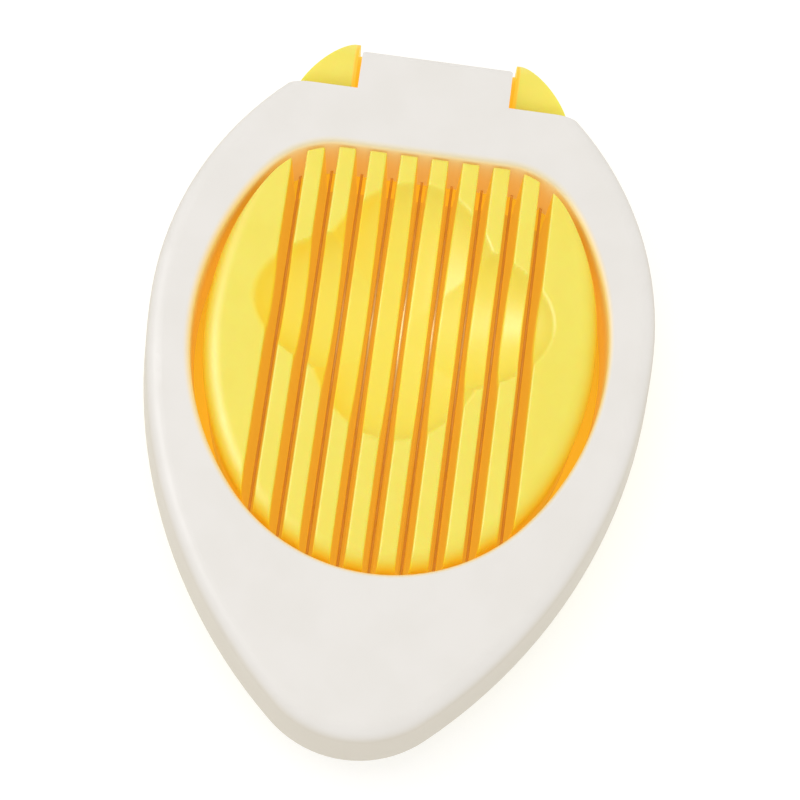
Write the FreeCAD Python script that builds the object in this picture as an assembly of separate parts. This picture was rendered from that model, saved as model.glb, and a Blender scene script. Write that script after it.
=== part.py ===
import FreeCAD, Part
import math
import os

V = FreeCAD.Vector
UP = V(0, 0, 1)
ACROSS = V(1, 0, 0)
ALONG = V(0, 1, 0)

# Sizes in millimetres: X across the wires, Y from the finger nose to the hinge, Z up from the table.

# Whole slicer
overall_height = 25.0
part_gap = 0.1

# Lid: an egg-shaped ring with a flared skirt
lid_half_width = 44.9
lid_rear_half_width = 27.8
lid_wide_shift = 4.0
lid_nose_radius = 20.0
nose_length = 29.2
rear_band = 10.9
lid_depth = 14.0
lid_wall = 2.0
skirt_flare = 1.3
lid_edge_radius = 3.0

# Opening in the lid: an oval cut off straight at the rear
opening_half_width = 35.9
opening_front_reach = 41.8
opening_rear_reach = 34.6
opening_bluntness = 0.905
opening_side_radius = 48.5
opening_corner_radius = 15.0
opening_wall = 1.8
opening_edge_radius = 1.0

# Slotted cradle
cradle_gap = 2.0
cradle_rear_gap = 0.4
cradle_shift = 1.6
swing_gap = 0.3
cradle_drop = 1.0
cradle_edge_radius = 3.0
cradle_edge_runout = 80.0
cradle_shell = 2.5
cradle_plate = 1.6
slot_count = 9
slot_pitch = 5.5
slot_width = 2.5
slot_taper = 1.2

# Two egg hollows that cross in the cradle
hollow_shift = 5.5
hollow_depth = 11.0
long_hollow_half_length = 23.8
long_hollow_half_width = 16.5
cross_hollow_half_length = 26.1
cross_hollow_half_width = 15.0

# Tray under the cradle
tray_half_width = 44.2
tray_nose_setback = 8.5
tray_nose_radius = 21.0
tray_wall = 2.0
tray_floor = 1.6
foot_rim = 0.8
foot_edge_radius = 0.7
stake_radius = 2.0
stake_head_radius = 3.2
stake_head_depth = 0.5
stake_x = 16.5
stake_spread = 24.0

# Hinge
ear_radius = 5.6
ear_inner_x = 14.3
ear_outer_x = 25.1
ear_bulge = 0.5
ear_top_drop = 1.9
hinge_gap = 0.3
knuckle_radius = 3.4
tongue_reach = 1.9
tongue_edge_radius = 1.5
tongue_corner = 0.7
boss_radius = 3.6
side_gap = 0.75
boss_gap = 0.1
pin_radius = 1.25
pin_grip = 4.5
pin_press = 0.02
pin_running = 0.06
stop_wall = 2.4
stop_drop = 3.5

# Wires and their anchors
wire_radius = 0.25
wire_lift = 1.0
wire_play = 0.05
ferrule_radius = 0.8
ferrule_length = 2.5
bar_thickness = 3.0
bar_standoff = 0.8
bar_overhang = 1.8
bar_lift = 0.4
rib_thickness = 1.2
rib_depth = 3.0

# Places that follow from the sizes
overall_length = nose_length + opening_front_reach + opening_rear_reach + rear_band + hinge_gap + 2 * ear_radius
nose_y = -overall_length / 2
rear_y = overall_length / 2
opening_front = nose_y + nose_length
opening_y = opening_front + opening_front_reach
opening_rear = opening_y + opening_rear_reach
opening_nose_radius = opening_half_width * opening_bluntness
lid_rear = opening_rear + rear_band
lid_bottom = overall_height - lid_depth
lid_ceiling = overall_height - lid_wall
widest_y = opening_y + lid_wide_shift
plateau = overall_height - cradle_drop
floor_top = foot_rim + tray_floor
slot_floor = floor_top + cradle_plate
hollow_y = opening_y + hollow_shift
tray_top = lid_bottom - part_gap
ear_front = lid_rear + hinge_gap
hinge_y = ear_front + ear_radius
hinge_z = overall_height - ear_top_drop - ear_radius
tongue_half_width = ear_inner_x - side_gap
wire_z = lid_bottom + wire_lift
front_bar_y = opening_front - opening_wall - bar_standoff - bar_thickness
rear_bar_y = opening_rear + opening_wall + bar_standoff
bar_half_length = slot_pitch * (slot_count - 1) / 2 + bar_overhang
slot_places = [slot_pitch * (i - (slot_count - 1) / 2) for i in range(slot_count)]


def box(x0, x1, y0, y1, z0, z1):
    """Block between two corners."""
    return Part.makeBox(x1 - x0, y1 - y0, z1 - z0, V(x0, y0, z0))


def rod(radius, x0, x1):
    """Round bar on the hinge line."""
    return Part.makeCylinder(radius, x1 - x0, V(x0, hinge_y, hinge_z), ACROSS)


def arc_about(center, radius, start, end):
    """Arc in plan about a centre, between two angles in radians."""
    angles = (start, (start + end) / 2, end)
    points = [center + V(radius * math.cos(a), radius * math.sin(a), 0) for a in angles]
    return Part.Arc(*points).toShape()


def egg_side(tip_y, nose_radius, half_width, wide_y, rear_radius, end_y, z):
    """Right-hand half of an egg outline: nose, flank and rear arcs, tangent to each other."""
    reach = wide_y - tip_y
    flank_radius = (half_width ** 2 + reach ** 2 - 2 * reach * nose_radius) / (2 * (half_width - nose_radius))
    nose_center = V(0, tip_y + nose_radius, z)
    flank_center = V(half_width - flank_radius, wide_y, z)
    rear_center = V(half_width - rear_radius, wide_y, z)
    toward_nose = nose_center - flank_center
    join = math.atan2(toward_nose.y, toward_nose.x)
    end = math.asin((end_y - wide_y) / rear_radius)
    return [
        arc_about(nose_center, nose_radius, -math.pi / 2, join),
        arc_about(flank_center, flank_radius, join, 0),
        arc_about(rear_center, rear_radius, 0, end),
    ]


def side_radius(half_width, end_half_width, reach):
    """Radius of a side arc that leaves the widest line squarely and ends at a smaller half-width."""
    narrowing = half_width - end_half_width
    return (narrowing ** 2 + reach ** 2) / (2 * narrowing)


def closed_outline(side):
    """Right-hand edges, their mirror image and a straight rear edge, as one wire."""
    mirrored = [edge.mirror(V(0, 0, 0), ACROSS) for edge in reversed(side)]
    corner = side[-1].Vertexes[-1].Point
    rear = Part.makeLine(corner, V(-corner.x, corner.y, corner.z))
    return Part.Wire(Part.__sortEdges__(side + [rear] + mirrored))


def lid_outline(inset, z, end_y):
    """Outline of the lid at a height; it widens toward the skirt's foot."""
    shrink = inset + skirt_flare * (z - lid_bottom) / lid_depth
    rear_radius = side_radius(lid_half_width, lid_rear_half_width, lid_rear - widest_y)
    return closed_outline(
        egg_side(
            nose_y + shrink,
            lid_nose_radius - shrink,
            lid_half_width - shrink,
            widest_y,
            rear_radius - shrink,
            end_y,
            z,
        )
    )


def round_rear_corners(block, rear, radius):
    """Rounds the two upright edges at the ends of a straight rear face."""
    corners = [e for e in block.Edges if is_upright(e) and end_at(e, rear)]
    return block.makeFillet(radius, corners)


def opening_block(grow, z0, z1):
    """Upright block with the outline of the lid's opening, grown or shrunk all round."""
    rear = opening_rear + grow
    side = egg_side(
        opening_front - grow,
        opening_nose_radius + grow,
        opening_half_width + grow,
        opening_y,
        opening_side_radius + grow,
        rear,
        z0,
    )
    block = Part.Face(closed_outline(side)).extrude(UP * (z1 - z0))
    return round_rear_corners(block, rear, opening_corner_radius + grow)


def is_upright(edge):
    """True for a straight edge along Z."""
    first, last = edge.Vertexes[0].Point, edge.Vertexes[-1].Point
    return math.hypot(first.x - last.x, first.y - last.y) < 0.001 and abs(first.z - last.z) > 0.01


def end_at(edge, y):
    """True for an edge that starts at a given Y."""
    return abs(edge.Vertexes[0].Point.y - y) < 0.001


def level_edges(shape, z):
    """Edges that lie at one height."""
    return [e for e in shape.Edges if abs(e.BoundBox.ZMin - z) < 0.001 and abs(e.BoundBox.ZMax - z) < 0.001]


def lid_shell():
    """Flared skirt and top plate with the opening, both top edges rounded, hollow below."""
    past_rear = lid_rear + 1
    outlines = [lid_outline(0, z, past_rear) for z in (lid_bottom, overall_height)]
    shell = Part.makeLoft(outlines, True, True)
    rim = [e for e in level_edges(shell, overall_height) if e.BoundBox.YLength > 0.01]
    shell = shell.makeFillet(lid_edge_radius, rim)
    reach = lid_half_width + 1
    shell = shell.cut(box(-reach, reach, lid_rear, past_rear + 1, 0, overall_height + 1))
    shell = shell.cut(opening_block(0, lid_bottom - 1, overall_height + 1))
    mouth = [e for e in level_edges(shell, overall_height) if e.BoundBox.YMax < opening_rear + 0.01
             and e.BoundBox.YMin > opening_front - 0.01]
    shell = shell.makeFillet(opening_edge_radius, mouth)
    hollow = Part.makeLoft(
        [lid_outline(lid_wall, z, lid_rear - lid_wall) for z in (lid_bottom, lid_ceiling)], True, True
    )
    hollow = hollow.cut(opening_block(opening_wall, lid_bottom - 1, lid_ceiling + 1))
    return shell.cut(hollow)


def lid_tongue():
    """Hinge tongue, level with the lid's top, that closes round the pin below."""
    inside = lid_rear - lid_wall
    tail = hinge_y + tongue_reach
    low = hinge_z - knuckle_radius
    profile = Part.makePolygon([
        V(-tongue_half_width, inside, low),
        V(-tongue_half_width, hinge_y, low),
        V(-tongue_half_width, hinge_y + knuckle_radius, hinge_z),
        V(-tongue_half_width, tail, overall_height - knuckle_radius),
        V(-tongue_half_width, tail, overall_height),
        V(-tongue_half_width, inside, overall_height),
        V(-tongue_half_width, inside, low),
    ])
    tongue = Part.Face(profile).extrude(ACROSS * 2 * tongue_half_width)
    corners = [e for e in tongue.Edges if is_upright(e) and end_at(e, tail)]
    tongue = tongue.makeChamfer(tongue_corner, corners)
    tail_edge = [e for e in level_edges(tongue, overall_height) if e.BoundBox.YMin > tail - 0.001]
    tongue = tongue.makeFillet(tongue_edge_radius, tail_edge)
    return tongue.fuse(rod(knuckle_radius, -tongue_half_width, tongue_half_width))


def bar_ribs(y):
    """Two ribs under the lid's top plate that hold an anchor bar between them."""
    ribs = [
        box(-bar_half_length, bar_half_length, start, start + rib_thickness, lid_ceiling - rib_depth, lid_ceiling)
        for start in (y - rib_thickness, y + bar_thickness)
    ]
    return ribs[0].fuse(ribs[1])


def wire_passages():
    """Notches that the wires pass through, open at the lid's lower edge."""
    half = wire_radius + wire_play
    front, rear = front_bar_y - 0.1, rear_bar_y + bar_thickness + 0.1
    notches = [box(x - half, x + half, front, rear, lid_bottom - 1, wire_z + half) for x in slot_places]
    return Part.makeCompound(notches)


def lid_frame():
    """White moulding of the lid."""
    frame = lid_shell().fuse([lid_tongue(), bar_ribs(front_bar_y), bar_ribs(rear_bar_y)])
    frame = frame.cut(wire_passages())
    reach = tongue_half_width + 1
    return frame.cut(rod(pin_radius + pin_running, -reach, reach)).removeSplitter()


def anchor_bar(y):
    """Comb bar that a row of wires is strung from."""
    bar = box(-bar_half_length, bar_half_length, y, y + bar_thickness, lid_bottom + bar_lift, lid_ceiling)
    return bar.cut(wire_passages())


def ferrules(y):
    """Row of crimped sleeves, one on each wire end."""
    sleeves = []
    for x in slot_places:
        start = V(x, y, wire_z)
        sleeve = Part.makeCylinder(ferrule_radius, ferrule_length, start, ALONG)
        bore = Part.makeCylinder(wire_radius + pin_press, ferrule_length, start, ALONG)
        sleeves.append(sleeve.cut(bore))
    return Part.makeCompound(sleeves)


def wire(x):
    """Straight cutting wire between the outer ends of its two ferrules."""
    start = front_bar_y - ferrule_length
    end = rear_bar_y + bar_thickness + ferrule_length
    return Part.makeCylinder(wire_radius, end - start, V(x, start, wire_z), ALONG)


def slots():
    """Tapered slots between the slats, open at both ends."""
    half_floor = (slot_width - slot_taper) / 2
    rise = plateau - slot_floor
    above = plateau + rise
    half_above = half_floor + slot_taper
    start = opening_front - 1
    run = opening_rear - start + 1
    cutters = []
    for x in slot_places:
        profile = Part.makePolygon([
            V(x - half_floor, start, slot_floor),
            V(x + half_floor, start, slot_floor),
            V(x + half_above, start, above),
            V(x - half_above, start, above),
            V(x - half_floor, start, slot_floor),
        ])
        cutters.append(Part.Face(profile).extrude(ALONG * run))
    return Part.makeCompound(cutters)


def egg_hollow(half_length, half_width, direction):
    """Body of revolution, lying along a direction, that cuts an egg-shaped hollow in the plateau."""
    waist = (half_width ** 2 + hollow_depth ** 2) / (2 * hollow_depth)
    lift = waist - hollow_depth
    reach = half_length / math.sqrt(1 - (lift / waist) ** 2)
    center = V(0, hollow_y, plateau + lift)
    spans = [direction * reach, UP * waist]
    curve = Part.Ellipse(center + spans[0], center + spans[1], center)
    half = Part.Arc(curve, 0, math.pi).toShape()
    first, last = half.Vertexes[0].Point, half.Vertexes[-1].Point
    face = Part.Face(Part.Wire([half, Part.makeLine(last, first)]))
    return face.revolve(center, direction, 360)


def stake_rods(radius, z0, z1):
    """Upright rods at the four places where the cradle is staked to the tray."""
    return [
        Part.makeCylinder(radius, z1 - z0, V(x, opening_y + y, z0))
        for x in (-stake_x, stake_x)
        for y in (-stake_spread, stake_spread)
    ]


def side_pockets():
    """Hollows under the two broad side segments, open at the bottom."""
    core = opening_block(-cradle_gap - cradle_shell, floor_top, plateau - cradle_shell)
    inner = slot_places[-1] + slot_width / 2 + cradle_shell
    reach = opening_front_reach + opening_rear_reach
    return core.cut(box(-inner, inner, opening_y - reach, opening_y + reach, 0, plateau))


def swing_room():
    """Space that the foot of the lid's rear wall sweeps as the lid lifts, with a gap all round."""
    reach = opening_half_width
    sheet = Part.makePlane(2 * reach, lid_rear - opening_y, V(-reach, opening_y, lid_bottom - swing_gap))
    foot = sheet.cut(opening_block(-swing_gap, lid_bottom - 1, lid_bottom + 1))
    return foot.revolve(V(0, hinge_y, hinge_z), -ACROSS, 60)


def cradle_prism(rear_radius, rear, z0, z1):
    """Upright block with the cradle's outline and a chosen sweep of the sides toward the rear."""
    side = egg_side(
        opening_front + cradle_gap,
        opening_nose_radius - cradle_gap,
        opening_half_width - cradle_gap,
        opening_y + cradle_shift,
        rear_radius,
        rear,
        z0,
    )
    return Part.Face(closed_outline(side)).extrude(UP * (z1 - z0))


def cradle_block():
    """Body of the cradle: its top edge is rounded at the front and sides and sharp at the rear."""
    rear = opening_rear - cradle_rear_gap
    body = cradle_prism(opening_side_radius - cradle_gap + cradle_shift, rear, floor_top, plateau + 1)
    body = round_rear_corners(body, rear, opening_corner_radius)
    dome = cradle_prism(cradle_edge_runout, hinge_y, floor_top - 1, plateau)
    rim = [e for e in level_edges(dome, plateau) if e.BoundBox.YLength > 0.01]
    return body.common(dome.makeFillet(cradle_edge_radius, rim))


def egg_cradle():
    """Yellow slotted cradle with its egg hollow along the slots.

    The hollow across them is lost: its cut, made after the first, takes nothing away from the solid.
    """
    block = cradle_block().cut(side_pockets())
    block = block.cut(egg_hollow(long_hollow_half_length, long_hollow_half_width, ALONG))
    block = block.cut(egg_hollow(cross_hollow_half_length, cross_hollow_half_width, ACROSS))
    block = block.cut(swing_room())
    block = block.cut(slots())
    head_bottom = foot_rim - stake_head_depth
    stakes = stake_rods(stake_radius, head_bottom, floor_top)
    heads = stake_rods(stake_head_radius, head_bottom, foot_rim)
    return block.fuse(stakes + heads).removeSplitter()


def ear_arc(z):
    """Outline of the right ear in plan, from the tray's flank to the tongue."""
    start = V(ear_outer_x, ear_front, z)
    end = V(ear_inner_x, rear_y, z)
    span = end - start
    outward = V(span.y, -span.x, 0).normalize()
    return Part.Arc(start, (start + end) / 2 + outward * ear_bulge, end).toShape()


def tray_side(inset, end_y, z):
    """Right-hand outline of the tray up to a given Y."""
    rear_radius = side_radius(tray_half_width, ear_outer_x, ear_front - widest_y)
    return egg_side(
        nose_y + tray_nose_setback + inset,
        tray_nose_radius - inset,
        tray_half_width - inset,
        widest_y,
        rear_radius - inset,
        end_y,
        z,
    )


def hinge_ear():
    """Right ear: a post with a round head about the pin and a boss against the tongue."""
    front_edge = Part.makeLine(V(ear_inner_x, ear_front, 0), V(ear_outer_x, ear_front, 0))
    inner_edge = Part.makeLine(V(ear_inner_x, rear_y, 0), V(ear_inner_x, ear_front, 0))
    plan = Part.Face(Part.Wire([front_edge, ear_arc(0), inner_edge]))
    post = plan.extrude(UP * (hinge_z + ear_radius))
    head = rod(ear_radius, ear_inner_x, ear_outer_x)
    head = head.fuse(box(ear_inner_x, ear_outer_x, ear_front, rear_y, 0, hinge_z))
    boss = rod(boss_radius, tongue_half_width + boss_gap, ear_inner_x)
    return post.common(head).removeSplitter().fuse(boss)


def tray_shell():
    """Tray with a raised floor inside and a foot rim below."""
    shell = Part.Face(closed_outline(tray_side(0, ear_front, 0))).extrude(UP * tray_top)
    foot = [e for e in level_edges(shell, 0) if e.BoundBox.YLength > 0.01]
    shell = shell.makeFillet(foot_edge_radius, foot)
    inside = Part.Face(closed_outline(tray_side(tray_wall, ear_front - tray_wall, 0)))
    recess = inside.extrude(UP * foot_rim)
    room = inside.extrude(UP * tray_top).translated(UP * floor_top)
    return shell.cut([recess, room])


def base_tray():
    """Yellow moulding under the cradle, with the hinge ears and the lid's stop wall between them."""
    ear = hinge_ear()
    wall_front = rear_y - stop_wall
    behind = ear_front - tray_wall
    bridge = box(-ear_inner_x, ear_inner_x, behind, rear_y, 0, floor_top)
    stop = box(-ear_inner_x, ear_inner_x, wall_front, rear_y, 0, hinge_z - stop_drop)
    tray = tray_shell().fuse([ear, ear.mirror(V(0, 0, 0), ACROSS), bridge, stop])
    doorway = box(-ear_inner_x, ear_inner_x, behind, wall_front, floor_top, tray_top + 1)
    bore = rod(pin_radius + pin_press, -ear_outer_x, ear_inner_x + pin_grip)
    holes = stake_rods(stake_radius + pin_press, 0, floor_top)
    return tray.cut([doorway, bore] + holes).removeSplitter()


def hinge_pin():
    """Steel rod through the ears and the tongue."""
    grip = ear_inner_x + pin_grip
    return rod(pin_radius, -grip, grip)


os.makedirs("parts", exist_ok=True)
nodes = {
    "base_tray": base_tray(),
    "egg_cradle": egg_cradle(),
    "hinge_pin": hinge_pin(),
    "lid_frame": lid_frame(),
    "anchor_bar_front": anchor_bar(front_bar_y),
    "anchor_bar_rear": anchor_bar(rear_bar_y),
    "ferrules_front": ferrules(front_bar_y - ferrule_length),
    "ferrules_rear": ferrules(rear_bar_y + bar_thickness),
}
for number, place in enumerate(slot_places, 1):
    nodes[f"wire_{number}"] = wire(place)
for name, shape in nodes.items():
    shape.exportStep(f"parts/{name}.step")
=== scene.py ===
"""Looks of the egg slicer: a yellow slotted cradle on a yellow tray, under a white lid strung with wires."""

import logging
import math
from dataclasses import dataclass
from enum import Enum
from typing import Any, Callable, Union

import bmesh
import bpy
import numpy as np
from mathutils import Matrix, Vector


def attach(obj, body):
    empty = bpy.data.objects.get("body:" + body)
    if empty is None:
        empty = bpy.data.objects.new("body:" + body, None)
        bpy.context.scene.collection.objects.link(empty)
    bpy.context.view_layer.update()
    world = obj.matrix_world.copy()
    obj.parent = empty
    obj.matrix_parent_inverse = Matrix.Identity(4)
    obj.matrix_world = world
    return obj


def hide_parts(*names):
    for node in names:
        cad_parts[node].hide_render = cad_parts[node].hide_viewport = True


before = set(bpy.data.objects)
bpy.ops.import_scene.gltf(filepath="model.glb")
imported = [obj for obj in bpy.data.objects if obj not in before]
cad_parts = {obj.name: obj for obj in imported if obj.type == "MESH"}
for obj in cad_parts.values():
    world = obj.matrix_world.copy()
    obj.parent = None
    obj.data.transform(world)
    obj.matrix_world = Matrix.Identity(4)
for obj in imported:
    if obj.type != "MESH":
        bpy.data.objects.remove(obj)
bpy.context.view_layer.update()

MM = 0.001
# Mesh attribute: depth below the top, raised where shade is painted; it masks the painted shade and glow.
BASE = "base"
DEPTH_AND_SHADE = "depth"
MERGE_REACH = 1e-7
CLOUD_LOW = 0.3
CLOUD_HIGH = 0.7
BLACK = (0.0, 0.0, 0.0)
log = logging.getLogger("egg_slicer")

Colour = tuple[float, float, float]
Triple = tuple[float, float, float]
Number = Union[float, "Value"]
Height = Callable[[np.ndarray, np.ndarray], np.ndarray]


class Seam(Enum):
    """How a grid's bottom rim is closed."""

    CAPPED = "capped"
    OPEN = "open"


# Shader graph

class Value:
    """A number on a shader socket; arithmetic on it adds Math nodes."""

    def __init__(self, graph: "Graph", socket: bpy.types.NodeSocket) -> None:
        """Keep the graph and the socket that carries the number."""
        self.graph = graph
        self.socket = socket

    def math(self, operation: str, first: Number, second: Number) -> "Value":
        """Add one Math node.

        Args:
            operation: Name of the node's operation.
            first: Left operand.
            second: Right operand.

        Returns:
            The node's result.
        """
        made = self.graph.node("ShaderNodeMath", {"operation": operation}, {0: first, 1: second})
        return Value(self.graph, made.outputs[0])

    def __add__(self, other: Number) -> "Value":
        """Sum."""
        return self.math("ADD", self, other)

    def __radd__(self, other: Number) -> "Value":
        """Sum, reflected."""
        return self.math("ADD", other, self)

    def __sub__(self, other: Number) -> "Value":
        """Difference."""
        return self.math("SUBTRACT", self, other)

    def __rsub__(self, other: Number) -> "Value":
        """Difference, reflected."""
        return self.math("SUBTRACT", other, self)

    def __mul__(self, other: Number) -> "Value":
        """Product."""
        return self.math("MULTIPLY", self, other)

    def __rmul__(self, other: Number) -> "Value":
        """Product, reflected."""
        return self.math("MULTIPLY", other, self)

    def __truediv__(self, other: Number) -> "Value":
        """Quotient."""
        return self.math("DIVIDE", self, other)

    def size(self) -> "Value":
        """Value without its sign."""
        return self.math("ABSOLUTE", self, 0.0)

    def over(self, limit: Number) -> "Value":
        """1 where the value is over the limit, else 0."""
        return self.math("GREATER_THAN", self, limit)

    def pick(self, on: "Value", off: "Value") -> "Value":
        """One value where this mask is 1, the other where it is 0."""
        return off + (on - off) * self

    def distance(self, other: "Value") -> "Value":
        """Root of the sum of the two values' squares."""
        square = self * self + other * other
        return self.math("POWER", square, 0.5)

    def step(self, low: Number, high: Number) -> "Value":
        """Smooth step from 0 at low to 1 at high.

        Args:
            low: Value that gives 0.
            high: Value that gives 1.

        Returns:
            The stepped value.
        """
        settings = {"interpolation_type": "SMOOTHSTEP"}
        made = self.graph.node("ShaderNodeMapRange", settings, {0: self, 1: low, 2: high})
        return Value(self.graph, made.outputs[0])


class Graph:
    """A material's node tree with its Principled shader."""

    def __init__(self, name: str) -> None:
        """Make a node material with its plain shader.

        Args:
            name: Name of the material.
        """
        self.material = bpy.data.materials.new(name)
        self.material.use_nodes = True
        self.tree = self.material.node_tree
        self.shader = self.tree.nodes["Principled BSDF"]
        self.place = self.node("ShaderNodeTexCoord", {}, {}).outputs["Object"]

    def node(self, kind: str, settings: dict[str, Any], sockets: dict[Any, Any]) -> bpy.types.Node:
        """Add a node, set its settings, then its sockets.

        Args:
            kind: Type name of the node.
            settings: Attributes of the node, set first.
            sockets: Values, sockets or Value objects by input name or number.

        Returns:
            The new node.
        """
        made = self.tree.nodes.new(kind)
        for key, setting in settings.items():
            setattr(made, key, setting)
        for key, given in sockets.items():
            self.feed(made.inputs[key], given)
        return made

    def feed(self, target: bpy.types.NodeSocket, given: Any) -> None:
        """Link a socket, or set its constant.

        Args:
            target: Input socket.
            given: A Value, an output socket or a constant.
        """
        if isinstance(given, Value):
            given = given.socket
        if isinstance(given, bpy.types.NodeSocket):
            self.tree.links.new(given, target)
        else:
            target.default_value = given

    def surface(self, sockets: dict[str, Any]) -> None:
        """Set or link the shader's own sockets."""
        for key, given in sockets.items():
            self.feed(self.shader.inputs[key], given)

    def noise(self, size: float, stretch: Triple = (1.0, 1.0, 1.0), detail: float = 2.0) -> Value:
        """Noise in the piece's own coordinates.

        Args:
            size: Size of one cloud in metres.
            stretch: How many times longer the clouds are along X, Y and Z.
            detail: Octaves of the noise.

        Returns:
            A number about 0.5, from 0 to 1.
        """
        scale = tuple(1 / (size * longer) for longer in stretch)
        mapped = self.node("ShaderNodeMapping", {}, {"Vector": self.place, "Scale": scale})
        sockets = {"Vector": mapped.outputs[0], "Scale": 1.0, "Detail": detail}
        made = self.node("ShaderNodeTexNoise", {"noise_dimensions": "3D"}, sockets)
        return Value(self, made.outputs["Fac"])

    def attribute(self, name: str) -> Value:
        """A number that the piece's mesh carries at its points."""
        made = self.node("ShaderNodeAttribute", {"attribute_name": name}, {})
        return Value(self, made.outputs["Fac"])

    def axes(self) -> tuple[Value, Value, Value]:
        """The piece's own X, Y and Z in metres."""
        made = self.node("ShaderNodeSeparateXYZ", {}, {0: self.place})
        return tuple(Value(self, socket) for socket in made.outputs)

    def upward(self) -> Value:
        """How squarely the surface faces up or down.

        Returns:
            0 on an upright wall, 1 on a level face.
        """
        coordinates = self.node("ShaderNodeTexCoord", {}, {})
        made = self.node("ShaderNodeSeparateXYZ", {}, {0: coordinates.outputs["Normal"]})
        return Value(self, made.outputs[2]).size()

    def blend(self, factor: Number, first: Any, second: Any) -> bpy.types.NodeSocket:
        """Mix two colours.

        Args:
            factor: 0 gives the first colour, 1 the second.
            first: Colour or colour socket.
            second: Colour or colour socket.

        Returns:
            The mixed colour's socket.
        """
        colours = {6: opaque(first), 7: opaque(second)}
        made = self.node("ShaderNodeMix", {"data_type": "RGBA"}, {0: factor, **colours})
        return made.outputs[2]

    def bump(self, height: Value, distance: float, strength: float) -> bpy.types.NodeSocket:
        """Turn a height into a normal.

        Args:
            height: Height from 0 to 1.
            distance: Full height in metres.
            strength: Share of the effect.

        Returns:
            The normal's socket.
        """
        sockets = {"Height": height, "Distance": distance, "Strength": strength}
        return self.node("ShaderNodeBump", {}, sockets).outputs["Normal"]


def opaque(colour: Any) -> Any:
    """A colour constant with alpha; a socket is passed through."""
    return (*colour, 1.0) if isinstance(colour, tuple) else colour


# Finishes, with painted light and shade

@dataclass(frozen=True)
class WhitePlastic:
    """Satin white moulding: faint clouds, a fine spark texture, slightly uneven gloss, and painted shade that
    makes its upright walls darker and warmer.
    """

    name: str = "white_plastic"
    colour: Colour = (0.825, 0.81, 0.79)
    shade: Colour = (0.805, 0.79, 0.765)
    # Painted shade: upright walls take this darker, warmer colour instead of the top's.
    side: Colour = (0.69, 0.645, 0.555)
    roughness: float = 0.45
    gloss_spread: float = 0.10
    cloud_size: float = 9 * MM
    grain_size: float = 0.22 * MM
    grain_depth: float = 0.006 * MM
    grain_strength: float = 0.6
    side_turn: float = 0.1
    top_turn: float = 0.9
    specular: float = 0.2
    ior: float = 1.49

    def material(self) -> bpy.types.Material:
        """Make the node material.

        Returns:
            The white plastic.
        """
        graph = Graph(self.name)
        cloud = graph.noise(self.cloud_size)
        grain = graph.noise(self.grain_size, detail=1.0)
        flat = graph.blend(cloud.step(CLOUD_LOW, CLOUD_HIGH), self.colour, self.shade)
        # Painted shade: the more upright the face, the more of the side colour it takes.
        level = graph.upward().step(self.side_turn, self.top_turn)
        graph.surface({
            **self.tones(graph, graph.blend(level, self.side, flat)),
            "Roughness": self.roughness + (cloud + grain - 1.0) * self.gloss_spread,
            "Normal": graph.bump(grain, self.grain_depth, self.grain_strength),
            "Specular IOR Level": self.specular,
            "IOR": self.ior,
        })
        return graph.material

    def tones(self, graph: Graph, outside: bpy.types.NodeSocket) -> dict[str, Any]:
        """Colour sockets of a plain wall."""
        return {"Base Color": outside}


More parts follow.
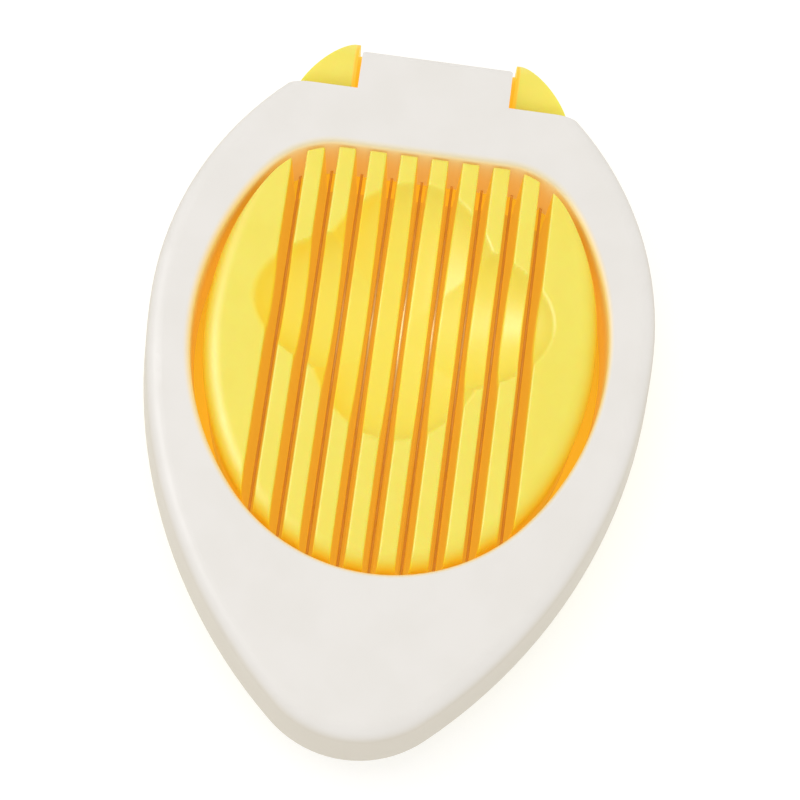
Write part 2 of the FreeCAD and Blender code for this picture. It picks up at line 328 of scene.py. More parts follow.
@dataclass(frozen=True)
class LidWhite(WhitePlastic):
    """The same plastic on the lid, with painted yellow light and glow from the cradle round the edge of its
    opening. Metres.
    """

    name: str = "lid_white"
    # Painted light from the cradle: tints and glows on the opening's rounded edge and wall, at the front and
    # at the rear.
    edge: Colour = (0.92, 0.70, 0.28)
    edge_glow: Colour = (0.10, 0.045, 0.0)
    wall: Colour = (0.92, 0.72, 0.38)
    wall_glow: Colour = (0.22, 0.11, 0.01)
    rear_edge: Colour = (0.86, 0.76, 0.50)
    rear_edge_glow: Colour = (0.26, 0.17, 0.06)
    rear_wall: Colour = (0.90, 0.75, 0.44)
    rear_wall_glow: Colour = (0.24, 0.145, 0.045)
    rear_start: float = 31 * MM
    rear_end: float = 39 * MM
    glow_start: float = -0.2 * MM
    glow_reach: float = 1.4 * MM
    front_reach: float = 0.8 * MM
    rear_glow_reach: float = 0.4 * MM
    reach_lean: float = 0.5
    reach_start: float = -25 * MM
    reach_end: float = 15 * MM
    wall_top: float = 23.6 * MM
    wall_foot: float = 15.0 * MM
    nose_y: float = -2.31 * MM
    nose_radius: float = 32.49 * MM
    wide_y: float = 7.0 * MM
    flank_x: float = -11.0 * MM
    flank_radius: float = 46.9 * MM
    side_x: float = -12.6 * MM
    side_radius: float = 48.5 * MM
    corner_x: float = 14.57 * MM
    corner_y: float = 26.6 * MM
    corner_radius: float = 15.0 * MM

    def outside_opening(self, graph: Graph) -> Value:
        """Distance out from the opening's edge, from the circle or chord whose sector the point lies in.

        Args:
            graph: The material's nodes.

        Returns:
            Metres, less than 0 inside the opening.
        """
        x, y, _ = graph.axes()
        reach = x.size()
        behind = y - self.wide_y
        nose = x.distance(y - self.nose_y) - self.nose_radius
        flank = (reach - self.flank_x).distance(behind) - self.flank_radius
        side = (reach - self.side_x).distance(behind) - self.side_radius
        corner = (reach - self.corner_x).distance(y - self.corner_y) - self.corner_radius
        chord = y - (self.corner_y + self.corner_radius)
        nose_turn = (reach - self.flank_x) * (self.wide_y - self.nose_y) - behind * self.flank_x
        corner_run = self.corner_x - self.side_x
        corner_rise = self.corner_y - self.wide_y
        corner_turn = behind * corner_run - (reach - self.side_x) * corner_rise
        front = nose_turn.over(0.0).pick(flank, nose)
        rear = corner_turn.over(0.0).pick(reach.over(self.corner_x).pick(corner, chord), side)
        return behind.over(0.0).pick(rear, front)

    def tones(self, graph: Graph, outside: bpy.types.NodeSocket) -> dict[str, Any]:
        """Colour and glow sockets of the painted light from the cradle, which fade from the opening's wall
        over its rounded edge.

        Args:
            graph: The material's nodes.
            outside: Colour of the flat top.

        Returns:
            Shader sockets by name.
        """
        x, y, z = graph.axes()
        rear_left = (y - x * self.reach_lean).step(self.reach_start, self.reach_end)
        reach = self.front_reach + rear_left * (self.glow_reach - self.front_reach)
        behind = y.step(self.rear_start, self.rear_end)
        outward = self.outside_opening(graph)
        # Masks of the painted light: near for the tint, lit for the glow, up for wall or edge.
        near = 1.0 - outward.step(self.glow_start, reach)
        lit = 1.0 - outward.step(self.glow_start, reach + behind * (self.rear_glow_reach - reach))
        up = z.step(self.wall_foot, self.wall_top)
        wall = graph.blend(behind, self.wall, self.rear_wall)
        edge = graph.blend(behind, self.edge, self.rear_edge)
        wall_glow = graph.blend(behind, self.wall_glow, self.rear_wall_glow)
        edge_glow = graph.blend(behind, self.edge_glow, self.rear_edge_glow)
        return {
            "Base Color": graph.blend(near, outside, graph.blend(up, wall, edge)),
            "Emission Color": graph.blend(lit, BLACK, graph.blend(up, wall_glow, edge_glow)),
            "Emission Strength": 1.0,
        }


@dataclass(frozen=True)
class YellowPlastic:
    """Glossy yellow moulding that lets some light through; its inner walls take a painted deeper orange shade
    and a painted orange glow.
    """

    name: str
    colour: Colour = (0.89, 0.79, 0.118)
    shade: Colour = (0.88, 0.77, 0.103)
    # Painted shade and light: sunk places take this darker orange and the orange glow below.
    painted_deep_shade: Colour = (0.50, 0.25, 0.01)
    glow: Colour = (0.385, 0.225, 0.018)
    roughness: float = 0.48
    gloss_spread: float = 0.08
    cloud_size: float = 7 * MM
    grain_size: float = 0.3 * MM
    grain_depth: float = 0.004 * MM
    grain_strength: float = 0.5
    ior: float = 1.5
    seep: float = 0.5
    seep_reach: float = 2.5 * MM
    seep_tint: Colour = (1.0, 0.55, 0.1)

    def material(self) -> bpy.types.Material:
        """Make the node material.

        Returns:
            The yellow plastic.
        """
        graph = Graph(self.name)
        cloud = graph.noise(self.cloud_size)
        grain = graph.noise(self.grain_size, detail=1.0)
        outside = graph.blend(cloud.step(CLOUD_LOW, CLOUD_HIGH), self.colour, self.shade)
        sunk = self.sunk(graph)
        graph.surface({
            # Painted shade and glow: sunk places blend to the deeper orange and get an emission.
            "Base Color": graph.blend(sunk, self.open_tone(graph, outside), self.painted_deep_shade),
            "Emission Color": graph.blend(sunk, self.open_glow(graph), self.glow),
            "Emission Strength": 1.0,
            "Roughness": self.roughness + (cloud + grain - 1.0) * self.gloss_spread,
            "Normal": graph.bump(grain, self.grain_depth, self.grain_strength),
            "IOR": self.ior,
            "Subsurface Weight": self.seep,
            "Subsurface Scale": self.seep_reach,
            "Subsurface Radius": self.seep_tint,
        })
        return graph.material

    def open_tone(self, graph: Graph, outside: bpy.types.NodeSocket) -> bpy.types.NodeSocket:
        """Colour of the surfaces that lie open to the light."""
        return outside

    def open_glow(self, graph: Graph) -> bpy.types.NodeSocket:
        """Painted glow on the open surfaces."""
        raise NotImplementedError

    def sunk(self, graph: Graph) -> Number:
        """How far a surface lies inside, from 0 in the open to 1: the mask of the painted deep shade and
        glow.
        """
        raise NotImplementedError


@dataclass(frozen=True)
class CradleYellow(YellowPlastic):
    """The cradle's finish, with painted shade and light: warmer low in the hollows, on the rounded edges and
    on slopes turned away from the light, with a painted orange glow down the slot walls and round the rim.
    """

    # Painted shade and light: a warmer tone and a little glow low in the hollows.
    hollow: Colour = (0.83, 0.71, 0.09)
    hollow_glow: Colour = (0.10, 0.095, 0.008)
    hollow_low: float = 18.0 * MM
    hollow_high: float = 24.0 * MM
    # Painted shade and light: tone and glow on rounded edges and on slopes turned away from the light.
    painted_lip_shade: Colour = (0.90, 0.69, 0.05)
    lip_glow: Colour = (0.10, 0.06, 0.0)
    lip_start: float = 0.03 * MM
    lip_end: float = 0.5 * MM
    wall_start: float = 0.5 * MM
    wall_end: float = 4.0 * MM

    def open_tone(self, graph: Graph, outside: bpy.types.NodeSocket) -> bpy.types.NodeSocket:
        """Colour of the tops with painted shade: warmer the lower they lie, along the rounded edges and on
        slopes turned away from the light.
        """
        top = graph.blend(self.height(graph), self.hollow, outside)
        return graph.blend(self.lip(graph), top, self.painted_lip_shade)

    def open_glow(self, graph: Graph) -> bpy.types.NodeSocket:
        """A little painted glow down in the hollows and along the rounded edges."""
        top = graph.blend(self.height(graph), self.hollow_glow, BLACK)
        return graph.blend(self.lip(graph), top, self.lip_glow)

    def height(self, graph: Graph) -> Value:
        """Share of the way up from the bottom of the hollows: the mask of the painted hollow shade and glow.
        """
        return graph.axes()[2].step(self.hollow_low, self.hollow_high)

    def lip(self, graph: Graph) -> Value:
        """Share of the way over a rounded edge, or down a slope turned away from the light: the mask of the
        painted lip shade.
        """
        return graph.attribute(DEPTH_AND_SHADE).step(self.lip_start, self.lip_end)

    def sunk(self, graph: Graph) -> Number:
        """Share of the way down from the top's edge: the mask of the painted deep shade and glow."""
        return graph.attribute(DEPTH_AND_SHADE).step(self.wall_start, self.wall_end)


@dataclass(frozen=True)
class TrayYellow(YellowPlastic):
    """The tray's finish: plain outside, with a painted orange shade and glow in the room under the cradle and
    by the tongue, and painted light on the ears. Metres.
    """

    room_half_width: float = 40 * MM
    room_half_length: float = 48 * MM
    room_y: float = 4 * MM
    room_floor: float = 1.6 * MM
    room_fade: float = 0.96
    corner_reach: float = 25 * MM
    corner_front: float = 30 * MM
    ear_side: float = 14.6 * MM
    ear_fade: float = 0.5 * MM
    ear_front: float = 50 * MM
    ear_back: float = 60 * MM
    # Painted light that lifts the shading on the ears.
    ear_glow: Colour = (0.15, 0.14, 0.03)
    back_fade_start: float = 63.4 * MM
    back_fade_end: float = 63.9 * MM
    # Painted glow in the room under the cradle.
    glow: Colour = (0.67, 0.35, 0.016)

    def open_glow(self, graph: Graph) -> bpy.types.NodeSocket:
        """Painted light in the ears, less and less towards their backs.

        Args:
            graph: The material's nodes.

        Returns:
            The glow's socket.
        """
        y = graph.axes()[1]
        ears = y.over(self.ear_front) * (1.0 - y.step(self.ear_front, self.ear_back))
        return graph.blend(ears, BLACK, self.ear_glow)

    def sunk(self, graph: Graph) -> Number:
        """Mask of the painted deep shade and glow: inside an ellipse or the rear corners above the floor, or
        on the ears' inner sides.

        Args:
            graph: The material's nodes.

        Returns:
            1 inside, 0 outside.
        """
        x, y, z = graph.axes()
        across = x / self.room_half_width
        along = (y - self.room_y) / self.room_half_length
        oval = 1.0 - across.distance(along).step(self.room_fade, 1.0)
        between = (self.corner_reach - x.size()).over(0.0)
        corners = between * y.over(self.corner_front) * (self.ear_front - y).over(0.0)
        room = oval + (1.0 - oval) * corners
        inner = 1.0 - x.size().step(self.ear_side, self.ear_side + self.ear_fade)
        ears = inner * y.over(self.ear_front)
        ahead = 1.0 - y.step(self.back_fade_start, self.back_fade_end)
        return (room + ears * ahead) * z.over(self.room_floor)


@dataclass(frozen=True)
class DrawnSteel:
    """Bright drawn steel with fine lines along its length."""

    name: str
    along: Triple
    colour: Colour = (0.84, 0.76, 0.66)
    shade: Colour = (0.72, 0.63, 0.52)
    roughness: float = 0.25
    gloss_spread: float = 0.15
    line_size: float = 0.12 * MM
    line_low: float = 0.35
    line_high: float = 0.7
    line_depth: float = 0.004 * MM
    line_strength: float = 0.4

    def material(self) -> bpy.types.Material:
        """Make the node material.

        Returns:
            The steel.
        """
        graph = Graph(self.name)
        lines = graph.noise(self.line_size, self.along)
        graph.surface({
            "Base Color": graph.blend(lines.step(self.line_low, self.line_high), self.colour, self.shade),
            "Roughness": self.roughness + lines * self.gloss_spread,
            "Normal": graph.bump(lines, self.line_depth, self.line_strength),
            "Metallic": 1.0,
        })
        return graph.material


@dataclass(frozen=True)
class WireSteel(DrawnSteel):
    """The wires' finish: duller, with their colour painted warm as a reflection of the orange plastic that
    they lie in.
    """

    name: str = "wire_steel"
    along: Triple = (1.0, 40.0, 1.0)
    # Painted reflection: the steel's colours are warmed towards the orange plastic around it.
    colour: Colour = (0.92, 0.71, 0.37)
    shade: Colour = (0.82, 0.61, 0.30)
    roughness: float = 0.62


# Surfaces

def grid_quads(rows: int, columns: int, first: int = 0) -> np.ndarray:
    """Corner numbers of the quads of a grid whose points are stored row by row.

    Args:
        rows: Points along the first parameter.
        columns: Points along the second parameter.
        first: Number of the grid's first point.

    Returns:
        One row of four point numbers for each quad.
    """
    corner = first + np.arange(rows * columns).reshape(rows, columns)
    quads = np.stack([corner[:-1, :-1], corner[1:, :-1], corner[1:, 1:], corner[:-1, 1:]], axis=-1)
    return quads.reshape(-1, 4)


def rim_loop(rows: int, columns: int, first: int) -> list[int]:
    """Point numbers round a grid's rim, against the sense of its quads, as one closing face.

    Args:
        rows: Points along the first parameter.
        columns: Points along the second parameter.
        first: Number of the grid's first point.

    Returns:
        The face's point numbers.
    """
    corner = first + np.arange(rows * columns).reshape(rows, columns)
    rim = [corner[:, 0], corner[-1, 1:], corner[-2::-1, -1], corner[0, -2:0:-1]]
    return np.concatenate(rim).tolist()[::-1]


def mesh_piece(name: str, grids: list[np.ndarray], seam: Seam, sharp_angle: float = 35.0) -> bpy.types.Object:
    """Make one object from point grids in millimetres, merged and shaded.

    Args:
        name: Name of the object.
        grids: Arrays of shape rows, columns, 4: x, y, z and the depth below the piece's top, raised where
            shade is painted.
        seam: Whether each grid's rim is closed by a face.
        sharp_angle: Edges that turn by more stay sharp, in degrees.

    Returns:
        The object, at the origin, with its faces pointing outwards.
    """
    points, faces = [], []
    first = 0
    for grid in grids:
        rows, columns = grid.shape[:2]
        faces += grid_quads(rows, columns, first).tolist()
        if seam is Seam.CAPPED:
            faces.append(rim_loop(rows, columns, first))
        points.append(grid.reshape(-1, 4) * MM)
        first += rows * columns
    stacked = np.concatenate(points)
    mesh = bpy.data.meshes.new(name)
    mesh.from_pydata(stacked[:, :3], [], faces)
    depth = mesh.attributes.new(DEPTH_AND_SHADE, "FLOAT", "POINT")
    depth.data.foreach_set("value", stacked[:, 3].astype(np.float32))
    shape = bmesh.new()
    shape.from_mesh(mesh)
    bmesh.ops.remove_doubles(shape, verts=shape.verts, dist=MERGE_REACH)
    bmesh.ops.recalc_face_normals(shape, faces=shape.faces)
    shape.to_mesh(mesh)
    shape.free()
    mesh.polygons.foreach_set("use_smooth", np.ones(len(mesh.polygons), dtype=bool))
    mesh.set_sharp_from_angle(angle=math.radians(sharp_angle))
    made = bpy.data.objects.new(name, mesh)
    bpy.context.scene.collection.objects.link(made)
    return made


def lathe(radius: np.ndarray, height: np.ndarray, center: tuple[float, float], sides: int = 40) -> np.ndarray:
    """Profile turned about an upright line: x and y are the radius on a circle, z is the height.

    Args:
        radius: Radii of the profile's points.
        height: Heights of the same points.
        center: Where the line stands.
        sides: Steps round the circle.

    Returns:
        Points of shape profile, sides + 1, 4, with no depth.
    """
    turn = np.linspace(0, 2 * np.pi, sides + 1)
    x = center[0] + radius[:, None] * np.cos(turn)
    y = center[1] + radius[:, None] * np.sin(turn)
    z = np.broadcast_to(height[:, None], x.shape)
    return np.stack([x, y, z, 0 * x], axis=-1)


def soft_min(first: np.ndarray, second: np.ndarray, blend: float) -> np.ndarray:
    """Lower of two heights, rounded over the stretch where they differ by less than blend."""
    share = np.clip(0.5 + 0.5 * (second - first) / blend, 0, 1)
    return second + (first - second) * share - blend * share * (1 - share)


def dress(node: str, material: bpy.types.Material) -> None:
    """Give a carried-over node its finish and report it.

    Args:
        node: Name of the CAD node.
        material: Its finish.
    """
    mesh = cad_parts[node].data
    mesh.materials.clear()
    mesh.materials.append(material)
    log.info("%s dressed in %s", node, material.name)


# Sub-assemblies

@dataclass
class RearEdge:
    """Back half of an outline: a side arc, a corner arc and a straight chord. Millimetres."""

    half_width: float
    wide_y: float
    side_radius: float
    corner_radius: float
    chord_y: float

    def y_at(self, x: np.ndarray) -> np.ndarray:
        """Edge's y over x: the chord, then the corner circle tangent to chord and side, then the side circle.

        Args:
            x: Places across the part.

        Returns:
            The edge's y at each place.
        """
        reach = np.abs(x)
        side_x = self.half_width - self.side_radius
        corner_y = self.chord_y - self.corner_radius
        center_gap = self.side_radius - self.corner_radius
        corner_x = side_x + math.sqrt(center_gap**2 - (corner_y - self.wide_y) ** 2)
        join_x = side_x + (corner_x - side_x) * self.side_radius / center_gap
        corner = corner_y + np.sqrt(np.maximum(self.corner_radius**2 - (reach - corner_x) ** 2, 0))
        side = self.wide_y + np.sqrt(np.maximum(self.side_radius**2 - (reach - side_x) ** 2, 0))
        return np.where(reach < corner_x, self.chord_y, np.where(reach < join_x, corner, side))


@dataclass
class FrontEdge:
    """Front half of an outline: a nose arc that runs into a flank arc. Millimetres."""

    tip_y: float
    nose_radius: float
    half_width: float
    wide_y: float

    def __post_init__(self) -> None:
        """Work out the flank arc that meets the nose arc and stands square at the widest place."""
        reach = self.wide_y - self.tip_y
        square = self.half_width**2 + reach**2 - 2 * reach * self.nose_radius
        self.flank_radius = square / (2 * (self.half_width - self.nose_radius))
        self.flank_x = self.half_width - self.flank_radius
        self.nose_y = self.tip_y + self.nose_radius
        self.join_angle = math.atan2(self.nose_y - self.wide_y, -self.flank_x)
        self.join_x = self.flank_x + self.flank_radius * math.cos(self.join_angle)

    def y_at(self, x: np.ndarray) -> np.ndarray:
        """Edge's y over x: the lower half of the nose circle, then of the flank circle.

        Args:
            x: Places across the part.

        Returns:
            The edge's y at each place.
        """
        reach = np.abs(x)
        nose = self.nose_y - np.sqrt(np.maximum(self.nose_radius**2 - reach**2, 0))
        flank = self.wide_y - np.sqrt(np.maximum(self.flank_radius**2 - (reach - self.flank_x) ** 2, 0))
        return np.where(reach < self.join_x, nose, flank)

    def inside(self, x: np.ndarray, y: np.ndarray, rear_radius: float) -> np.ndarray:
        """Distance in from the edge: each point is measured from the circle whose sector it lies in.

        Args:
            x: Places across the part.
            y: Places along the part.
            rear_radius: Radius of the arc that carries the outline on behind the widest place.

        Returns:
            Distance to the outline, less than 0 outside it.
        """
        reach = np.abs(x)
        ahead = np.arctan2(y - self.wide_y, reach - self.flank_x) < self.join_angle
        nose = self.nose_radius - np.hypot(reach, y - self.nose_y)
        flank = self.flank_radius - np.hypot(reach - self.flank_x, y - self.wide_y)
        rear_x = self.half_width - rear_radius
        rear = rear_radius - np.hypot(reach - rear_x, y - self.wide_y)
        return np.where(y > self.wide_y, rear, np.where(ahead, nose, flank))


@dataclass
class EggHollow:
    """Long round dip for an egg: the lower side of an ellipsoid whose middle is above the plateau."""

    half_length: float
    half_width: float
    depth: float
    plateau: float

    def z_at(self, along: np.ndarray, across: np.ndarray) -> np.ndarray:
        """Height of the dip: middle less waist times the root of what the two offsets leave of 1.

        Args:
            along: Offsets along the egg.
            across: Offsets across the egg.

        Returns:
            The surface height; the ellipsoid's middle height beyond its reach.
        """
        waist = (self.half_width**2 + self.depth**2) / (2 * self.depth)
        lift = waist - self.depth
        reach = self.half_length / math.sqrt(1 - (lift / waist) ** 2)
        left = np.maximum(1 - (along / reach) ** 2 - (across / waist) ** 2, 0)
        return self.plateau + lift - waist * np.sqrt(left)


@dataclass
class SlottedCradle:
    """Eight bars and two lands with an egg hollow each way, standing on one plate. Millimetres."""

    half_width: float = 34.1
    front_y: float = -33.7
    nose_radius: float = 31.39
    wide_y: float = 8.6
    side_radius: float = 47.0
    corner_radius: float = 15.0
    rear_y: float = 41.2
    dome_rear_radius: float = 80.0
    edge_radius: float = 3.6
    # Shares that raise the carried depth, which masks the painted shade and glow.
    rim_share: float = 0.18
    wall_share: float = 0.35
    shade_share: float = 0.4
    slope_step: float = 1.2
    plateau: float = 24.0
    plate_top: float = 4.0
    plate_bottom: float = 2.4
    slot_count: int = 9
    slot_pitch: float = 5.5
    slot_half_width: float = 1.25
    wall_draft: float = 0.6
    bar_edge_radius: float = 0.35
    hollow_y: float = 12.5
    hollow_depth: float = 11.0
    long_half_length: float = 23.8
    long_half_width: float = 16.5
    cross_half_length: float = 26.1
    cross_half_width: float = 15.0
    hollow_blend: float = 0.6
    sink: float = 0.4
    hinge_y: float = 58.4
    hinge_z: float = 17.5
    swing_foot_z: float = 10.7
    lid_half_width: float = 35.6
    lid_wide_y: float = 7.0
    lid_side_radius: float = 48.2
    lid_corner_radius: float = 14.7
    lid_rear_y: float = 41.3
    stake_x: float = 16.5
    stake_y: float = 7.0
    stake_spread: float = 24.0
    stake_head_radius: float = 3.2
    stake_head_depth: float = 0.5
    stake_foot_z: float = 0.8
    rows_on_top: int = 200
    rows_in_front: int = 8
    rows_behind: int = 15
    wall_steps: int = 7
    edge_steps: int = 6
    bar_steps: int = 9
    land_steps: int = 41
    plate_steps: int = 61
    head_steps: int = 9

    def __post_init__(self) -> None:
        """Work out the outline, the lid's swept room and the two hollows."""
        self.front = FrontEdge(self.front_y, self.nose_radius, self.half_width, self.wide_y)
        self.rear = RearEdge(self.half_width, self.wide_y, self.side_radius, self.corner_radius, self.rear_y)
        lid_sides = (self.lid_half_width, self.lid_wide_y, self.lid_side_radius)
        self.lid_rear = RearEdge(*lid_sides, self.lid_corner_radius, self.lid_rear_y)
        level = (self.hollow_depth, self.plateau)
        self.long_hollow = EggHollow(self.long_half_length, self.long_half_width, *level)
        self.cross_hollow = EggHollow(self.cross_half_length, self.cross_half_width, *level)

    def rim_at(self, x: np.ndarray, y: np.ndarray) -> np.ndarray:
        """Plateau's height with its rim rounded off by a quarter circle.

        Args:
            x: Places across the part.
            y: Places along the part.

        Returns:
            The height at each place.
        """
        inside = self.front.inside(x, y, self.dome_rear_radius)
        short = np.clip(self.edge_radius - inside, 0, self.edge_radius)
        return self.plateau - self.edge_radius + np.sqrt(self.edge_radius**2 - short**2)

    def top_at(self, x: np.ndarray, y: np.ndarray) -> np.ndarray:
        """Height of the top: the plateau rounded off at its rim, cut by the two hollows.

        Args:
            x: Places across the part.
            y: Places along the part.

        Returns:
            The top's height at each place.
        """
        rim = self.rim_at(x, y)
        offset = y - self.hollow_y
        hollow = np.minimum(self.long_hollow.z_at(offset, x), self.cross_hollow.z_at(x, offset))
        return soft_min(rim, hollow, self.hollow_blend)

    def turned_away(self, x: np.ndarray, y: np.ndarray, top: Height) -> np.ndarray:
        """How steeply the hollows fall to the right, away from the light; it adds painted shade there.

        Args:
            x: Places across the part.
            y: Places along the part.
            top: Function of x and y that gives the top's height.

        Returns:
            The fall of the top less that of its rim, per millimetre, from 0 to 1.
        """
        near = x - self.slope_step
        far = x + self.slope_step
        fall = top(near, y) - top(far, y) - self.rim_at(near, y) + self.rim_at(far, y)
        return np.clip(fall / (2 * self.slope_step), 0, 1)

    def rear_face(self, x: np.ndarray, z: np.ndarray) -> np.ndarray:
        """Back face's y: the outline, or the circle about the hinge that the lid's rear wall sweeps.

        Args:
            x: Places across the part.
            z: Heights.

        Returns:
            The back face's y.
        """
        swept = np.hypot(self.hinge_y - self.lid_rear.y_at(x), self.hinge_z - self.swing_foot_z)
        clear = self.hinge_y - np.sqrt(np.maximum(swept**2 - (z - self.hinge_z) ** 2, 0))
        return np.where(z > self.swing_foot_z, np.minimum(self.rear.y_at(x), clear), self.rear.y_at(x))

    def block(self, x: np.ndarray, rise: np.ndarray, drop: np.ndarray,
              floor: float, top: Height) -> np.ndarray:
        """One upright block of the outline: a cross profile carried over the top from foot to foot.

        The front rows climb the outline at y = front(x). The top rows run from front to back with cosine
        spacing at z = top(x, y) - drop. The back rows go down the swept back face. Each height is scaled
        by the profile's rise, which is 0 at the foot of a side wall and 1 from its shoulder on.

        Args:
            x: Profile places across the part.
            rise: Share of the height at each profile place.
            drop: Depth below the top at each profile place.
            floor: Height of the foot.
            top: Function of x and y that gives the top's height.

        Returns:
            Points of shape profile, rows, 4, with their depth below the top, raised where shade is painted.
        """
        column = x[:, None]
        climb = 1 - np.linspace(1, 0, self.rows_in_front)[None, :-1] ** 2
        run = 0.5 - 0.5 * np.cos(np.linspace(0, np.pi, self.rows_on_top))[None, :]
        front = self.front.y_at(column)
        back_top = self.rear_face(column, np.full_like(column, self.plateau))
        y_top = front + (back_top - front) * run
        crown = top(column, y_top)
        z_top = floor + rise[:, None] * (crown - drop[:, None] - floor)
        z_front = floor + (z_top[:, :1] - floor) * climb
        fall = np.linspace(0, 1, self.rows_behind)[None, 1:]
        z_back = z_top[:, -1:] + (floor - z_top[:, -1:]) * fall
        y_back = self.rear_face(np.broadcast_to(column, z_back.shape), z_back)
        y = np.concatenate([np.broadcast_to(front, z_front.shape), y_top, y_back], axis=1)
        z = np.concatenate([z_front, z_top, z_back], axis=1)
        # Painted shade: the rim's rounding and slopes turned away from the light count as deeper, so they
        # take the painted lip tone.
        rim = self.rim_share * (self.plateau - self.rim_at(column, y_top))
        shade = self.shade_share * self.turned_away(column, y_top, top)
        below = crown - z_top + rim + shade
        down_front = below[:, :1] + self.wall_share * (z_top[:, :1] - z_front)
        down_back = below[:, -1:] + self.wall_share * (z_top[:, -1:] - z_back)
        depth = np.concatenate([down_front, below, down_back], axis=1)
        return np.stack([np.broadcast_to(column, y.shape), y, z, depth], axis=-1)

    def wall_profile(self) -> tuple[np.ndarray, np.ndarray, np.ndarray]:
        """Profile of a bar's upright side, from its foot to the end of its rounded edge, a quarter circle.

        Returns:
            Offsets inward from the bar's edge, shares of the height, and depths below the top.
        """
        rise = 1 - np.linspace(1, 0, self.wall_steps) ** 2
        turn = np.linspace(0, np.pi / 2, self.edge_steps)[1:]
        inward = np.concatenate([0 * rise, self.bar_edge_radius * (1 - np.cos(turn))])
        over = self.bar_edge_radius * (1 - np.sin(turn))
        drop = np.concatenate([np.full(rise.size, self.bar_edge_radius), over])
        return inward, np.concatenate([rise, np.ones(turn.size)]), drop

    def spread(self, points: np.ndarray, still_x: float, edge_x: float) -> np.ndarray:
        """Widen a block downwards: x moves off still_x in step, so the wall at edge_x leans by its draft.

        Args:
            points: The block's points.
            still_x: Place across the part that stays.
            edge_x: Place of the wall at the plateau.

        Returns:
            The widened points.
        """
        fall = (self.plateau - points[..., 2]) / (self.plateau - self.plate_top)
        points[..., 0] += (points[..., 0] - still_x) * fall * self.wall_draft / abs(edge_x - still_x)
        return points

    def bar(self, left: float, right: float) -> np.ndarray:
        """One bar between two slots, with both walls and rounded edges.

        Args:
            left: Place of its left wall at the plateau.
            right: Place of its right wall.

        Returns:
            The bar's points.
        """
        inward, rise, drop = self.wall_profile()
        ends = (left + self.bar_edge_radius, right - self.bar_edge_radius)
        flat = np.linspace(*ends, self.bar_steps)[1:-1]
        x = np.concatenate([left + inward, flat, (right - inward)[::-1]])
        rise = np.concatenate([rise, np.ones(flat.size), rise[::-1]])
        drop = np.concatenate([drop, np.zeros(flat.size), drop[::-1]])
        upright = self.block(x, rise, drop, self.plate_top - self.sink, self.top_at)
        return self.spread(upright, (left + right) / 2, right)

    def side_land(self, inner: float, side: int) -> np.ndarray:
        """The land outside the last slot, from its slot wall to the outline's widest place.

        Args:
            inner: Distance of the slot wall from the middle.
            side: 1 on the right, -1 on the left.

        Returns:
            The land's points.
        """
        inward, rise, drop = self.wall_profile()
        steps = np.sin(np.linspace(0, np.pi / 2, self.land_steps))[1:]
        start = inner + self.bar_edge_radius
        x = np.concatenate([inner + inward, start + (self.half_width - start) * steps])
        rise = np.concatenate([rise, np.ones(steps.size)])
        drop = np.concatenate([drop, np.zeros(steps.size)])
        upright = self.block(side * x, rise, drop, self.plate_top - self.sink, self.top_at)
        return self.spread(upright, side * self.half_width, side * inner)

    def plate(self) -> np.ndarray:
        """The plate under the bars: the whole outline, flat on top.

        Returns:
            The plate's points.
        """
        x = self.half_width * np.sin(np.linspace(-np.pi / 2, np.pi / 2, self.plate_steps))
        ones = np.ones(x.size)
        slab = self.block(x, ones, 0 * ones, self.plate_bottom, lambda x, y: np.full(y.shape, self.plate_top))
        # The plate counts as deep down, so it takes the painted deep shade and glow.
        slab[..., 3] = self.plateau - slab[..., 2]
        return slab

    def stake_heads(self) -> list[np.ndarray]:
        """Melted heads under the tray: the lower half of a flat ellipsoid, radius R cos a, depth D sin a.

        Returns:
            The points of each head.
        """
        turn = np.linspace(0, np.pi / 2, self.head_steps)
        radius = np.append(0, self.stake_head_radius * np.cos(turn))
        height = np.append(self.stake_foot_z, self.stake_foot_z - self.stake_head_depth * np.sin(turn))
        places = [(x, self.stake_y + y) for x in (-self.stake_x, self.stake_x)
                  for y in (-self.stake_spread, self.stake_spread)]
        return [lathe(radius, height, place) for place in places]

    def build(self, plastic: bpy.types.Material, under: bpy.types.Material) -> None:
        """Make the cradle and its stake heads, dress them, hide the CAD cradle that the new one stands for,
        and attach both to the base.

        Args:
            plastic: The cradle's finish.
            under: The finish of the heads under the tray.
        """
        half = (self.slot_count - 1) / 2
        slots = [self.slot_pitch * (number - half) for number in range(self.slot_count)]
        bars = [self.bar(slot + self.slot_half_width, slot + self.slot_pitch - self.slot_half_width)
                for slot in slots[:-1]]
        lands = [self.side_land(slots[-1] + self.slot_half_width, side) for side in (-1, 1)]
        cradle = mesh_piece("slotted_cradle", [*bars, *lands, self.plate()], Seam.CAPPED)
        cradle.data.materials.append(plastic)
        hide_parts("egg_cradle")
        heads = mesh_piece("stake_heads", self.stake_heads(), Seam.OPEN)
        heads.data.materials.append(under)
        for piece in (cradle, heads):
            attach(piece, BASE)
            log.info("%s built with %d faces", piece.name, len(piece.data.polygons))


@dataclass
class Tray:
    """The tray with its two hinge ears, and the pin that runs through them."""

    shell: str = "base_tray"
    pin: str = "hinge_pin"

    def dress(self, plastic: bpy.types.Material, steel: bpy.types.Material) -> None:
        """Give the tray and the pin their finishes."""
        dress(self.shell, plastic)
        dress(self.pin, steel)


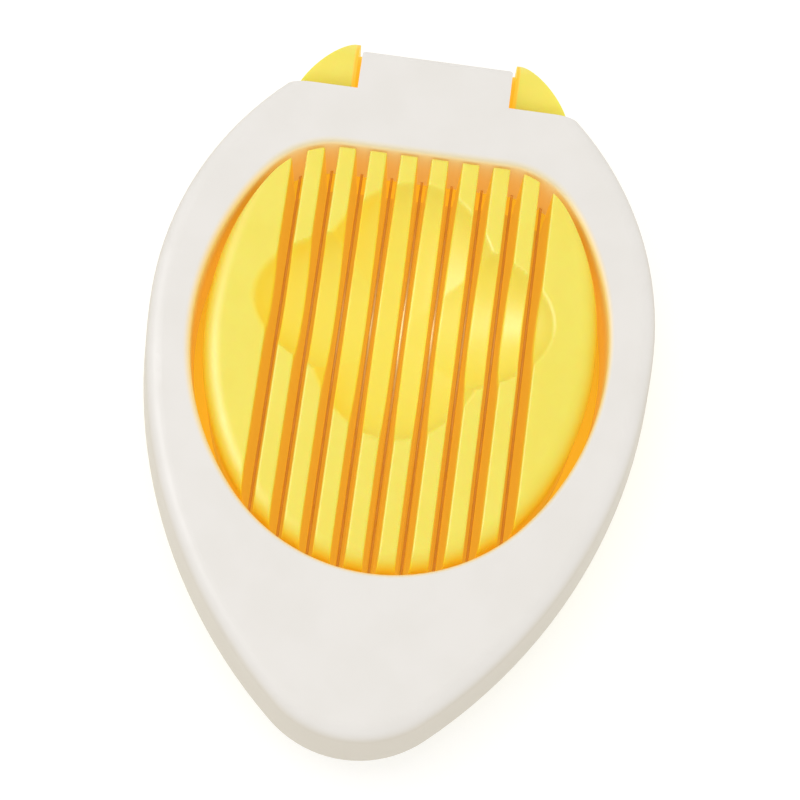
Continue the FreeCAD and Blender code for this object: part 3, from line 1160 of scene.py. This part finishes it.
@dataclass
class WireLid:
    """The white lid with its bars, ferrules and nine cutting wires."""

    wire_count: int = 9
    shell: str = "lid_frame"
    bars: tuple[str, ...] = ("anchor_bar_front", "anchor_bar_rear")
    ferrules: tuple[str, ...] = ("ferrules_front", "ferrules_rear")

    def dress(self, shell: bpy.types.Material, bar: bpy.types.Material,
              wire: bpy.types.Material, ferrule: bpy.types.Material) -> None:
        """Give the lid's pieces their finishes.

        Args:
            shell: Finish of the lid itself.
            bar: Finish of the two bars that hold the wires.
            wire: Finish of the wires.
            ferrule: Finish of the crimps at their ends.
        """
        dress(self.shell, shell)
        for node in self.bars:
            dress(node, bar)
        for node in self.ferrules:
            dress(node, ferrule)
        for number in range(1, self.wire_count + 1):
            dress(f"wire_{number}", wire)


@dataclass
class Studio:
    """Pale floor, soft light and the camera. Millimetres and degrees."""

    target: Triple = (1.35, -4.0, 24.0)
    distance: float = 380.0
    elevation: float = 72.0
    roll: float = 7.7
    lens: float = 100.3
    sensor: float = 36.0
    near_clip: float = 1.0
    floor_size: float = 4000.0
    floor_cloud: float = 60.0
    floor_pale: Colour = (0.36, 0.36, 0.36)
    floor_shade: Colour = (0.34, 0.34, 0.34)
    floor_roughness: float = 0.7
    floor_glow: float = 0.70
    surround: Colour = (1.0, 0.975, 0.94)
    surround_strength: float = 0.78
    key_place: Triple = (-120.0, 60.0, 1100.0)
    key_size: float = 520.0
    key_power: float = 3.2
    gloss_place: Triple = (-720.0, 60.0, 620.0)
    gloss_size: float = 480.0
    gloss_power: float = 12.0

    def floor(self) -> None:
        """Flat pale floor."""
        side = np.linspace(-self.floor_size / 2, self.floor_size / 2, 9)
        x, y = np.meshgrid(side, side, indexing="ij")
        made = mesh_piece("floor", [np.stack([x, y, 0 * x, 0 * x], axis=-1)], Seam.OPEN)
        graph = Graph("pale_floor")
        cloud = graph.noise(self.floor_cloud * MM)
        graph.surface({
            "Base Color": graph.blend(cloud, self.floor_pale, self.floor_shade),
            "Roughness": self.floor_roughness,
            "Emission Color": (1.0, 1.0, 1.0, 1.0),
            "Emission Strength": self.floor_glow,
        })
        made.data.materials.append(graph.material)

    def light(self, name: str, place: Triple, size: float, power: float) -> bpy.types.Object:
        """Square soft light aimed at the target.

        Args:
            name: Name of the light.
            place: Where it stands, in millimetres from the target.
            size: Length of its side.
            power: Its power in watts.

        Returns:
            The light.
        """
        lamp = bpy.data.lights.new(name, "AREA")
        lamp.size = size * MM
        lamp.energy = power
        made = bpy.data.objects.new(name, lamp)
        offset = Vector(place) * MM
        turn = (-offset).to_track_quat("-Z", "Y").to_matrix().to_4x4()
        made.matrix_world = Matrix.Translation(Vector(self.target) * MM + offset) @ turn
        bpy.context.scene.collection.objects.link(made)
        return made

    def lights(self) -> None:
        """White surround, a soft key from above and a light on the left that only shows in the gloss."""
        world = bpy.data.worlds.new("surround")
        world.use_nodes = True
        sky = world.node_tree.nodes["Background"]
        sky.inputs["Color"].default_value = (*self.surround, 1.0)
        sky.inputs["Strength"].default_value = self.surround_strength
        bpy.context.scene.world = world
        key = self.light("key", self.key_place, self.key_size, self.key_power)
        key.visible_glossy = False
        gloss = self.light("gloss", self.gloss_place, self.gloss_size, self.gloss_power)
        gloss.visible_diffuse = False

    def camera(self) -> None:
        """Camera on the photograph's line of sight, rolled so that the part leans to the right."""
        rise, roll = math.radians(self.elevation), math.radians(self.roll)
        ahead = Vector((0, math.cos(rise), -math.sin(rise)))
        up = Vector((0, math.sin(rise), math.cos(rise)))
        side = Vector((1, 0, 0))
        right = side * math.cos(roll) + up * math.sin(roll)
        top = up * math.cos(roll) - side * math.sin(roll)
        axes = Matrix((right, top, -ahead)).transposed().to_4x4()
        made = bpy.data.objects.new("camera", bpy.data.cameras.new("camera"))
        made.data.sensor_width = self.sensor
        made.data.lens = self.lens
        made.data.clip_start = self.near_clip * MM
        made.matrix_world = Matrix.Translation((Vector(self.target) - ahead * self.distance) * MM) @ axes
        bpy.context.scene.collection.objects.link(made)
        bpy.context.scene.camera = made

    def build(self) -> None:
        """Set up the whole stage with plain colour rendering."""
        self.floor()
        self.lights()
        self.camera()
        bpy.context.scene.view_settings.view_transform = "Standard"


def main() -> None:
    """Build and dress the sub-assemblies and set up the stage."""
    logging.basicConfig(level=logging.INFO, format="%(name)s: %(message)s")
    white = WhitePlastic().material()
    lid_white = LidWhite().material()
    cradle_yellow = CradleYellow("cradle_yellow").material()
    tray_yellow = TrayYellow("tray_yellow").material()
    wire = WireSteel().material()
    ferrule = DrawnSteel("ferrule_steel", (1.0, 6.0, 1.0)).material()
    pin = DrawnSteel("pin_steel", (12.0, 1.0, 1.0)).material()
    SlottedCradle().build(cradle_yellow, tray_yellow)
    Tray().dress(tray_yellow, pin)
    WireLid().dress(lid_white, white, wire, ferrule)
    Studio().build()


if __name__ == "__main__":
    main()
